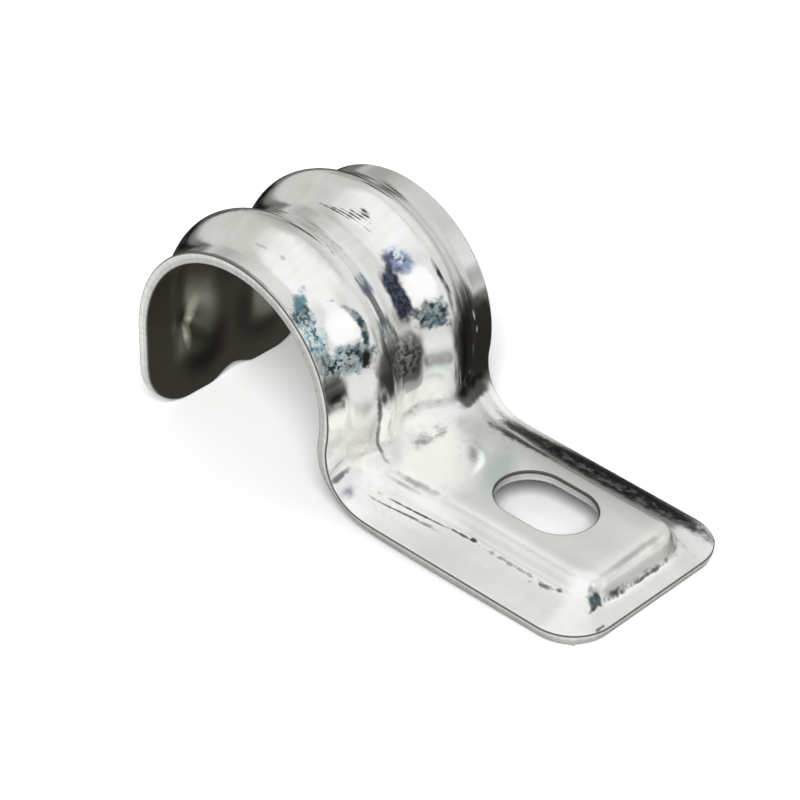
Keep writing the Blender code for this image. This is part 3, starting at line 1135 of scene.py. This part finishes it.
@dataclass(frozen=True)
class Mark:
    """A patch laid on the plate: an oval with soft, ragged edges, in millimetres.

    Most marks are painted reflections, painted highlights and painted shade, which darken and
    lighten the plate where it mirrors dark and bright surroundings; a few are real scratches and
    a nick, and the front crease is pressed in as well as shaded. Along is the distance from the
    free end, across the place from the strip's middle. The oval is turned by turn degrees and its
    long axis bows by bow. Tone is what is left of the plate's own brightness inside it, flecks is
    how far it breaks up into flecks of its grain, satin is how much it blurs what it reflects,
    nonmetal is how far it stops being metal, so that its painted white or dark tone shows instead
    of bright metal, depth, in micrometres, is how deep it is pressed in, and inner says that it
    lies on the inner skin.
    """

    name: str
    along: float
    across: float
    half_along: float
    half_across: float
    turn: float = 0.0
    bow: float = 0.0
    tone: float = 0.2
    tint: Triple = (0.99, 1.0, 0.95)
    strength: float = 1.0
    flecks: float = 0.0
    grain: Grain = Grain.COARSE
    satin: float = 0.0
    bloom: float = 0.0
    softness: float = 0.4
    ragged: float = 0.5
    outline: Outline = Outline.OVAL
    depth: float = 0.0
    inner: bool = False


TEAL = (0.58, 1.02, 1.18)
MINT = (0.90, 1.0, 0.96)
BLUE = (0.74, 0.90, 1.38)
NAVY = (0.84, 0.94, 1.22)
BROWN = (1.04, 1.0, 0.9)
CREAM = (1.02, 1.0, 0.93)

box = partial(Mark, outline=Outline.BOX)
satin = partial(box, strength=0.0)
shadow = partial(box, ragged=0.06)
# White patches that give up some metal: painted reflection of bright surroundings.
sheen = partial(box, softness=0.5, ragged=0.1)
# Darker patches: painted darker reflection.
dull = partial(Mark, softness=0.6, ragged=0.3)
# White ovals: painted reflection of bright lights.
oval = partial(Mark, tone=0.98, tint=(1.0, 1.0, 1.0), softness=0.3, ragged=0.3)
# Teal and flecked patches: painted reflection and painted shade, broken into specks.
teal = partial(Mark, tint=TEAL)
flecked = partial(Mark, flecks=1.0)
light_flecks = partial(flecked, tone=0.9, tint=MINT, grain=Grain.FINE)
# Dark crescents: painted dark reflection at the ribs' flanks.
crescent = partial(Mark, tone=0.04, bloom=0.2, softness=0.45, ragged=0.25)
soft = partial(Mark, softness=0.7)
faint = partial(Mark, softness=0.9)
scratch = partial(soft, tone=0.10, ragged=0.9)
glint = partial(faint, tone=0.9, bloom=0.3)
inside_shade = partial(Mark, ragged=0.05, inner=True)
gleam = partial(soft, ragged=0.3, inner=True)

MARKS = (
    satin("satin foot", 58.5, 0.0, 11.5, 9.6, satin=0.10),
    satin("satin leg", 40.0, -2.0, 4.0, 7.5, satin=0.06),
    satin("satin bend", 45.8, 0.0, 3.6, 6.4, satin=0.26),
    # Darker patches on the back band and the ribs: painted darker reflection.
    box("dull back band", 25.5, 7.7, 5.5, 1.7, tone=0.78, softness=0.5, ragged=0.15),
    dull("dull back of rib 1", 25.2, -4.1, 4.0, 0.6, tone=0.72),
    dull("dull front of rib 2", 25.5, 1.0, 2.6, 0.5, tone=0.80),
    # White patches in the bend, on the leg, under the valley, on the back lip and end wall: painted
    # reflection.
    Mark("white film in the bend", 47.8, -1.6, 5.0, 3.1, -30, tone=0.98, bloom=0.32, satin=0.1, softness=0.3,
         ragged=0.06),
    sheen("white film on the leg", 40.6, -7.2, 2.6, 1.6, tone=0.95, bloom=0.2),
    sheen("white film under the valley", 41.8, -1.6, 1.5, 2.6, tone=0.97, bloom=0.2),
    sheen("white film on the back lip", 48.2, 8.6, 4.2, 0.5, tone=0.97, bloom=0.45, softness=0.4),
    sheen("film on the end wall", 66.85, 0.0, 0.55, 4.0, tone=0.90, bloom=0.35),
    # White ovals on the ribs: painted reflection of bright lights.
    oval("white oval on rib 1", 32.4, -5.95, 1.7, 0.9),
    oval("white oval on rib 2", 32.2, 2.6, 2.0, 0.85),
    # Teal haze, flecks, dark rim and black corner round rib 1's white oval: painted reflection.
    teal("teal haze, streak", 29.9, -7.75, 1.3, 0.5, -38, tone=0.30),
    teal("teal haze, left", 30.8, -8.0, 0.9, 0.8, tone=0.24, flecks=0.3),
    teal("teal haze, upper", 32.7, -8.1, 1.6, 0.8, tone=0.46, flecks=0.2),
    teal("teal haze, lower", 34.8, -6.7, 0.95, 1.9, tone=0.36, flecks=0.15),
    flecked("teal flecks, left", 30.7, -8.0, 1.0, 0.9, tone=0.10, tint=TEAL),
    flecked("teal flecks, upper", 32.6, -8.1, 1.6, 0.8, tone=0.18, tint=TEAL),
    flecked("teal flecks, lower", 34.9, -6.6, 0.9, 1.9, tone=0.06, tint=TEAL),
    light_flecks("light flecks, upper", 32.4, -8.0, 1.9, 0.8, tone=0.95, strength=0.8),
    light_flecks("light flecks, lower", 34.8, -6.9, 0.7, 1.5, strength=0.7),
    teal("dark rim of rib 1's oval", 33.2, -4.66, 1.9, 0.26, 0, -2.2, tone=0.08, flecks=0.3),
    Mark("black corner of rib 1's oval", 35.2, -5.2, 0.55, 0.36, -20, tone=0.03),
    # Blue haze, flecks, the navy stripe and the dark rims round rib 2's white oval: painted reflection.
    Mark("blue haze on rib 2", 30.4, 1.95, 1.1, 0.72, 20, tone=0.38, tint=BLUE, ragged=0.15),
    flecked("blue flecks on rib 2", 30.3, 1.8, 1.05, 0.7, 20, tone=0.12, tint=BLUE, strength=0.8,
            ragged=0.25),
    light_flecks("light flecks on rib 2", 29.9, 2.15, 0.8, 0.5, tone=0.95, tint=(0.92, 1.0, 1.06),
                 strength=0.8, ragged=0.3),
    Mark("navy stripe's head", 30.4, 1.2, 0.95, 0.24, -20, tone=0.12, tint=NAVY, softness=0.6, ragged=0.4),
    box("navy stripe", 32.6, 0.6, 2.0, 0.72, tone=0.04, tint=NAVY, softness=0.25, ragged=0.2),
    light_flecks("navy stripe's light flecks", 32.4, 0.5, 1.8, 0.6, tone=0.22, tint=BLUE, strength=0.35,
                 outline=Outline.BOX),
    box("blue flecks, lower", 34.95, 2.3, 0.85, 1.0, tint=TEAL, flecks=0.1, softness=0.3),
    box("dark flecks, lower", 34.95, 2.4, 0.8, 1.0, tone=0.05, tint=NAVY, flecks=1.0, strength=0.9),
    light_flecks("light flecks, lower, rib 2", 34.9, 2.3, 0.75, 0.9, strength=0.5),
    Mark("dark rim of rib 2's oval", 32.8, 3.95, 1.2, 0.18, 5, 0.6, tone=0.06, flecks=0.3, softness=0.5,
         ragged=0.4),
    Mark("dark rim of rib 2's oval, end", 34.6, 3.9, 1.0, 0.12, -4, tone=0.40, softness=0.8, ragged=0.4),
    # Crescents and the crescent's tail: painted dark reflection along the ribs' left flanks.
    crescent("crescent on rib 1", 15.9, -5.3, 1.3, 0.42, 20),
    soft("crescent's tail", 18.8, -4.5, 2.0, 0.2, 12, tone=0.25),
    Mark("dark spot on rib 1", 18.8, -7.8, 0.6, 0.35, tone=0.35, softness=0.8),
    crescent("crescent on rib 2", 15.3, 2.85, 1.5, 0.5, 10),
    Mark("shade behind rib 2, top", 22.4, 5.2, 0.9, 0.8, 30, tone=0.5, softness=0.8, ragged=0.3),
    scratch("scratch, long", 24.0, 1.42, 1.2, 0.045, 1, tone=0.12),
    scratch("scratch, second", 25.0, 1.62, 1.5, 0.045, 3),
    scratch("scratch, third", 25.6, 1.85, 1.1, 0.045, 4),
    scratch("scratch, fourth", 26.0, 2.08, 0.9, 0.05, 4),
    scratch("scratch, fifth", 26.2, 2.3, 0.6, 0.06, 6),
    scratch("scratch, last", 26.1, 2.5, 0.3, 0.10, 6, tone=0.08, ragged=0.6),
    scratch("tick", 24.2, -6.3, 0.45, 0.10, 3, tone=0.62),
    scratch("tick, second", 26.0, -6.15, 0.35, 0.10, 4, tone=0.62),
    # Grey line along the arch's front edge: painted shade at the rounded edge.
    box("grey line at the front edge", 20.5, -8.92, 7.5, 0.13, tone=0.32, softness=0.5, ragged=0.25),
    shadow("shade in the valley", 37.6, -1.9, 3.1, 1.75, 73, tone=0.6, softness=0.10),
    flecked("light specks in the valley", 37.2, -0.8, 1.5, 1.7, tone=0.7, bloom=0.18, grain=Grain.FINE,
            strength=0.4, softness=0.5),
    shadow("shade in the valley, bottom", 38.8, 0.2, 1.6, 0.95, tone=0.5, softness=0.12),
    Mark("streak in the valley's shade", 36.9, -1.8, 0.12, 1.6, -12, tone=0.9, softness=0.8, ragged=0.6),
    shadow("shade behind rib 2", 40.0, 6.4, 4.35, 2.6, tone=0.45, softness=0.07),
    shadow("shade behind rib 2, end", 43.4, 6.1, 0.9, 2.1, tone=0.10, softness=0.25, ragged=0.08),
    shadow("shade on rib 2's back", 39.6, 5.1, 3.6, 1.0, tone=0.14, softness=0.25, ragged=0.1),
    glint("fleck behind rib 2", 36.9, 7.1, 0.35, 0.10, 8, tone=0.95, bloom=0.35),
    glint("fleck behind rib 2, second", 38.2, 7.3, 0.22, 0.10, bloom=0.25),
    glint("fleck behind rib 2, third", 39.6, 6.6, 0.5, 0.06, 6),
    glint("fleck behind rib 2, fourth", 41.6, 6.5, 0.3, 0.08, 10),
    # Streaks, cream strip, lines, bars and a spot on the leg: painted reflection.
    soft("brown streak on the leg", 36.1, -8.2, 0.2, 0.8, tone=0.5, tint=BROWN),
    Mark("dark streak on the leg", 37.3, -8.1, 0.4, 0.85, 10, tone=0.14, tint=MINT, softness=0.6),
    box("cream strip on the leg", 41.6, -6.3, 2.2, 0.6, tone=0.86, tint=CREAM, softness=0.6, ragged=0.3),
    soft("line down the leg", 41.0, -4.85, 3.4, 0.12, tone=0.3, ragged=0.7),
    soft("line down the leg, top", 38.9, -4.85, 0.8, 0.16, 3, tone=0.14),
    soft("line down the leg, end", 43.2, -4.75, 0.5, 0.12, 3, tone=0.3),
    faint("bar on the leg's flank", 38.4, 2.35, 0.35, 0.6, tone=0.72),
    Mark("bar across the leg", 44.0, -8.3, 0.22, 0.9, 12, tone=0.25, tint=(0.96, 0.98, 1.06),
         softness=0.6, ragged=0.6),
    soft("lilac spot", 45.5, -8.3, 0.42, 0.4, tone=0.42, tint=(0.92, 0.95, 1.16), flecks=0.5),
    soft("shade in the bend", 45.1, -0.9, 0.55, 0.6, -30, tone=0.16, tint=MINT, flecks=0.4, ragged=0.8),
    Mark("shade in the bend, around", 45.0, -0.9, 1.2, 1.0, -40, tone=0.55, flecks=0.3, softness=0.8,
         ragged=0.8, strength=0.6),
    Mark("shade in the bend, second", 45.3, 1.0, 0.7, 0.45, -40, tone=0.4, flecks=0.5, softness=0.8,
         ragged=0.9),
    # Soft crease beside the bend: lines of painted shade.
    faint("soft crease beside the bend", 49.5, -4.9, 1.9, 0.2, 4, tone=0.45),
    faint("soft crease beside the bend, second", 48.6, -5.4, 1.3, 0.10, 4, tone=0.55),
    Mark("shade past the white film", 52.9, 0.6, 1.0, 3.0, 30, tone=0.76, tint=MINT, softness=0.8,
         ragged=0.2),
    # Mint arc in the bend: painted reflection.
    soft("mint arc in the bend", 51.1, 0.45, 1.6, 0.28, -49, -1.6, tone=0.98, tint=MINT, bloom=0.6,
         ragged=0.1),
    faint("shade inside the arc", 50.2, 0.7, 0.4, 1.0, 41, tone=0.5),
    faint("shade at the plateau's back", 57.4, 4.3, 8.6, 1.5, tone=0.72, ragged=0.1),
    # Dark lines at the back edge of the flat top: painted shade.
    Mark("back edge of the flat", 52.0, 4.75, 3.2, 0.5, 4, tone=0.12, softness=0.5, ragged=0.6),
    soft("back edge of the flat, long", 58.5, 5.15, 7.0, 0.3, tone=0.5, ragged=0.4),
    # The back lip's black band and its light flecks: painted dark reflection.
    Mark("back lip", 57.8, 7.7, 9.6, 1.22, 0.8, tone=0.03, softness=0.28, ragged=0.22),
    Mark("back lip, start", 49.4, 7.3, 1.9, 0.55, 8, tone=0.07, softness=0.35),
    flecked("back lip's light flecks", 58.4, 7.4, 6.5, 0.45, tone=0.5, ragged=1.2, softness=0.5,
            strength=0.7),
    # Front crease: a groove pressed in by depth, darkened along it with painted shade.
    soft("front crease, long", 49.7, -6.9, 2.3, 0.055, 8, tone=0.16, ragged=0.8, depth=25),
    Mark("front crease, long, edge", 51.6, -6.75, 1.4, 0.05, 6, tone=0.4, softness=0.8, ragged=0.9),
    soft("front crease, short", 50.9, -6.25, 2.6, 0.06, 6, tone=0.12, ragged=0.8, depth=25),
    soft("front crease, joined", 54.7, -5.85, 1.0, 0.08, 1, tone=0.12, ragged=0.9, depth=20),
    Mark("front crease, spot", 56.0, -5.75, 0.3, 0.14, tone=0.08, ragged=0.4),
    soft("front crease, dots", 59.4, -5.85, 1.7, 0.10, tone=0.5, ragged=1.8, depth=15),
    soft("front crease, far", 63.0, -6.0, 0.8, 0.14, 12, tone=0.25, ragged=1.4, depth=15),
    Mark("front crease, last", 64.2, -5.75, 0.3, 0.16, softness=0.6, ragged=1.0),
    # End crease: lines, a brown spot and corner flecks of painted shade along the crease.
    faint("end crease, upper", 66.2, -0.6, 0.2, 2.7, 2, tone=0.55, ragged=0.3),
    faint("end crease, brown spot", 66.25, 2.3, 0.25, 0.5, tone=0.62, tint=(1.04, 1.0, 0.86)),
    soft("end crease, lower", 67.1, 0.6, 0.07, 2.2, tone=0.15, ragged=1.1),
    soft("end crease, lower, left", 67.0, -2.8, 0.11, 0.9, tone=0.12, ragged=1.1),
    teal("end crease corner", 66.6, -4.6, 0.6, 0.5, tone=0.12, flecks=0.9),
    Mark("end crease corner, streak", 66.8, -5.0, 0.16, 0.5, 10, tone=0.10, softness=0.6),
    inside_shade("shade inside the leg", 4.3, -3.1, 2.7, 2.4, tone=0.28),
    gleam("gleam inside the leg", 6.5, -3.0, 1.7, 0.36, 22, tone=1.6),
    gleam("gleam inside the leg, lower", 4.8, -3.9, 0.9, 0.4, 30, tone=1.5),
    inside_shade("shade inside the leg, second", 4.8, 3.3, 2.9, 2.7, tone=0.45),
    Mark("nick at the end", 68.3, -6.0, 0.12, 0.35, tone=0.25, ragged=1.0),
)


@dataclass
class ZincFinish:
    """Bright zinc plate on pressed steel: mirror-like and a little wavy, with painted reflections,
    painted highlights and painted shade laid on it as marks, and a few real scratches.

    Ranges of cut and depth say between which values of the mesh a zone comes in. Heights are in
    millimetres, and so is the wiping's fade along the strip.
    """

    marks: tuple[Mark, ...]
    dull: Colour = (0.915, 0.925, 0.90, 1.0)
    bright: Colour = (0.985, 0.99, 0.98, 1.0)
    wiped: Colour = (0.94, 0.94, 0.92, 1.0)
    # Darkens the inner skin: painted shade under the arch.
    inner_painted_shade: Colour = (0.62, 0.60, 0.53, 1.0)
    shear_dark: Colour = (0.70, 0.71, 0.68, 1.0)
    shear_light: Colour = (0.80, 0.81, 0.78, 1.0)
    # Pale slot wall: painted reflection of the floor beneath it.
    slot_wall_painted_pale: Colour = (0.93, 0.93, 0.92, 1.0)
    # Near-black rolled rim: painted dark reflection.
    rim_painted_dark: Colour = (0.08, 0.08, 0.07, 1.0)
    torn_shade: Colour = (0.80, 0.80, 0.79, 1.0)
    # Dark burr along the cut's lower edge: painted shade.
    burr_painted_dark: Colour = (0.16, 0.16, 0.14, 1.0)
    edge_noise: Noise = Noise(1.9, 2.5)
    edge_reach: float = 3.0
    waves: Noise = Noise(0.55, 3.0, 0.3, 0.7, drawn=(0.35, 1.0, 1.0))
    wave_height: float = 0.030
    crinkle: Noise = Noise(3.2, 3.0, drawn=(0.35, 1.0, 1.0))
    crinkle_height: float = 0.004
    wiping: Noise = Noise(1.0, 2.0, 0.38, 0.72, drawn=(1.3, 0.3, 1.0))
    wiping_fade: Range = (32.0, 42.0)
    wiping_left: float = 0.3
    shearing: Noise = Noise(2.2, 2.0, 0.35, 0.65)
    skin_blur: float = 0.12
    cut_blur: float = 0.42
    inner_blur: float = 0.24
    cut_metal: float = 0.35
    cut_zone: Range = (0.2, 0.8)
    slot_zone: Range = (1.2, 1.8)
    outer_zone: Range = (0.0, 0.3)
    inner_zone: Range = (0.9, 1.0)
    rolled_to: float = 0.17
    rolled_more_in_slot: float = 0.17
    rolled_fade: float = 0.12
    torn_zone: Range = (0.45, 0.6)
    burr_zone: Range = (0.84, 0.97)

    def __post_init__(self) -> None:
        """Makes the material's tree and reads the strip's coordinates, cut and depth in it."""
        self.material = bpy.data.materials.new("zinc plate")
        self.material.use_nodes = True
        nodes = self.nodes = Nodes(self.material.node_tree)
        strip = nodes.add("ShaderNodeUVMap", {"uv_map": "strip"}).outputs["UV"]
        self.place = nodes.vector("MULTIPLY", strip, (STRIP_UNIT / MM, STRIP_UNIT / MM, 0.0))
        solid = nodes.add("ShaderNodeTexCoord").outputs["Object"]
        self.solid = nodes.vector("MULTIPLY", solid, (1 / MM, 1 / MM, 1 / MM))
        self.cut, self.depth = (nodes.add("ShaderNodeAttribute", {"attribute_name": name}).outputs["Fac"]
                                for name in ("cut_edge", "depth"))
        self.outside = nodes.ramp(self.depth, *self.outer_zone, 1.0, 0.0)
        self.inside = nodes.ramp(self.depth, *self.inner_zone)

    def mark_group(self) -> bpy.types.ShaderNodeTree:
        """A node group: 1 inside a soft, ragged oval or box and 0 outside it.

        The place is turned about the oval's middle, its across part is bowed by the square of
        its along part, and both are divided by the half sizes, raised to the outline's power and
        added. The sum's root by that power, shifted by the noise, is compared with 1.

        Returns:
            The group.
        """
        nodes = mask_group("mark mask", ("Place", "Middle", "Ahead", "Aside"),
                           ("Bow", "Noise", "Ragged", "Softness", "Outline"))
        given = nodes.add("NodeGroupInput").outputs
        power = given["Outline"]
        shifted = nodes.vector("SUBTRACT", given["Place"], given["Middle"])
        ahead, aside = (nodes.vector("DOT_PRODUCT", shifted, given[name]) for name in ("Ahead", "Aside"))
        square = nodes.math("MULTIPLY", ahead, ahead)
        aside = nodes.math("SUBTRACT", aside, nodes.math("MULTIPLY", square, given["Bow"]))
        powers = (nodes.math("POWER", nodes.math("ABSOLUTE", part), power) for part in (ahead, aside))
        far = nodes.math("POWER", nodes.math("ADD", *powers), nodes.math("DIVIDE", 1.0, power))
        far = nodes.math("ADD", far, nodes.math("MULTIPLY", given["Noise"], given["Ragged"]))
        nodes.add("NodeGroupOutput", Mask=nodes.within(far, given["Softness"]))
        return nodes.tree

    def mask(self, group: bpy.types.ShaderNodeTree, noise: Socket, mark: Mark) -> Socket:
        """Adds a mark's mask, on its own skin only.

        Args:
            group: The mark mask's group.
            noise: Noise about 0 that makes its edge ragged.
            mark: The mark.

        Returns:
            The mask.
        """
        turn = math.radians(mark.turn)
        ahead = np.array([math.cos(turn), math.sin(turn), 0.0]) / mark.half_along
        aside = np.array([-math.sin(turn), math.cos(turn), 0.0]) / mark.half_across
        mask = self.nodes.add("ShaderNodeGroup", {"node_tree": group, "label": mark.name}, Place=self.place,
                              Middle=(mark.along, mark.across, 0.0), Ahead=ahead, Aside=aside,
                              Bow=mark.bow, Noise=noise, Ragged=mark.ragged, Softness=mark.softness,
                              Outline=mark.outline.value).outputs["Mask"]
        return self.nodes.math("MULTIPLY", mask, self.inside if mark.inner else self.outside)

    def cut_colour(self) -> Socket:
        """The cut edge's colour: painted dark reflection on the rolled rim, a bright land, pale in the
        slot as a painted reflection of the floor, a duller torn zone and painted shade along the burr.

        Returns:
            The colour.
        """
        nodes = self.nodes
        slot = nodes.ramp(self.cut, *self.slot_zone)
        land = nodes.blend(self.shearing.share(nodes, self.place), self.shear_dark, self.shear_light)
        # The slot's wall is painted pale, as a reflection of the floor.
        land = nodes.blend(slot, land, self.slot_wall_painted_pale)
        more = nodes.math("MULTIPLY", slot, self.rolled_more_in_slot)
        rolled_to = nodes.math("ADD", self.rolled_to, more)
        rolled_from = nodes.math("SUBTRACT", rolled_to, self.rolled_fade)
        # Painted dark reflection on the rolled rim, wider in the slot.
        colour = nodes.blend(nodes.ramp(self.depth, rolled_from, rolled_to), self.rim_painted_dark, land)
        torn, sheared = nodes.ramp(self.depth, *self.torn_zone), nodes.math("SUBTRACT", 1.0, slot)
        colour = nodes.blend(nodes.math("MULTIPLY", torn, sheared), colour, self.torn_shade, "MULTIPLY")
        # The burr is darkened with painted shade.
        return nodes.blend(nodes.ramp(self.depth, *self.burr_zone), colour, self.burr_painted_dark)

    def build(self) -> bpy.types.Material:
        """Makes the plate, lays the marks on it in order, most of them painted reflection and painted
        shade, colours the cut edges, and darkens the inner skin with painted shade.

        Returns:
            The material.
        """
        nodes, place = self.nodes, self.place
        noise = nodes.math("SUBTRACT", self.edge_noise.value(nodes, self.solid), 0.5)
        noise = nodes.math("MULTIPLY", noise, self.edge_reach)
        height = nodes.math("ADD", nodes.math("MULTIPLY", self.waves.value(nodes, place), self.wave_height),
                            nodes.math("MULTIPLY", self.crinkle.value(nodes, place), self.crinkle_height))
        colour = nodes.blend(self.waves.share(nodes, place), self.dull, self.bright)
        along = nodes.add("ShaderNodeSeparateXYZ", Vector=place).outputs["X"]
        wiped = nodes.math("MULTIPLY", self.wiping.share(nodes, place),
                           nodes.ramp(along, *self.wiping_fade, 1.0, self.wiping_left))
        colour = nodes.blend(wiped, colour, self.wiped, "MULTIPLY")
        blur = nodes.ramp(self.cut, *self.cut_zone, self.skin_blur, self.cut_blur)
        metal = nodes.ramp(self.cut, *self.cut_zone, 1.0, self.cut_metal)
        flecks = {grain: grain.value.share(nodes, place) for grain in Grain}
        group = self.mark_group()
        for mark in self.marks:
            mask = self.mask(group, noise, mark)
            if mark.flecks:
                broken = nodes.math("MULTIPLY", flecks[mark.grain], mark.flecks)
                mask = nodes.math("MULTIPLY", mask, nodes.math("ADD", broken, 1 - mark.flecks))
            if mark.bloom:
                bare = nodes.math("SUBTRACT", 1.0, nodes.math("MULTIPLY", mask, mark.bloom))
                metal = nodes.math("MULTIPLY", metal, bare)
            if mark.satin:
                blur = nodes.math("ADD", blur, nodes.math("MULTIPLY", mask, mark.satin))
            if mark.strength:
                stain = (*(mark.tone * part for part in mark.tint), 1.0)
                colour = nodes.blend(nodes.math("MULTIPLY", mask, mark.strength), colour, stain)
            if mark.depth:
                height = nodes.math("ADD", height, nodes.math("MULTIPLY", mask, -mark.depth * MM))
        colour = nodes.blend(self.cut, colour, self.cut_colour())
        # Painted shade darkens the inner skin under the arch.
        colour = nodes.blend(self.inside, colour, self.inner_painted_shade, "MULTIPLY")
        blur = nodes.math("ADD", blur, nodes.math("MULTIPLY", self.inside, self.inner_blur))
        bump = nodes.add("ShaderNodeBump", Height=height, Strength=1.0, Distance=MM).outputs["Normal"]
        shader = self.material.node_tree.nodes["Principled BSDF"]
        looks = {"Base Color": colour, "Roughness": blur, "Metallic": metal, "Normal": bump}
        for name, value in looks.items():
            nodes.feed(shader.inputs[name], value)
        return self.material


def main() -> None:
    """Builds the studio, the camera and the strap."""
    logging.basicConfig(level=logging.INFO, format="%(name)s: %(message)s")
    PhotoCamera().build()
    Studio(STUDIO_GLOWS).build()
    strap = Strap(StrapSizes(), Fineness()).dress(ZincFinish(MARKS).build())
    LOG.info("%s: %d faces", strap.name, len(strap.data.polygons))


if __name__ == "__main__":
    main()
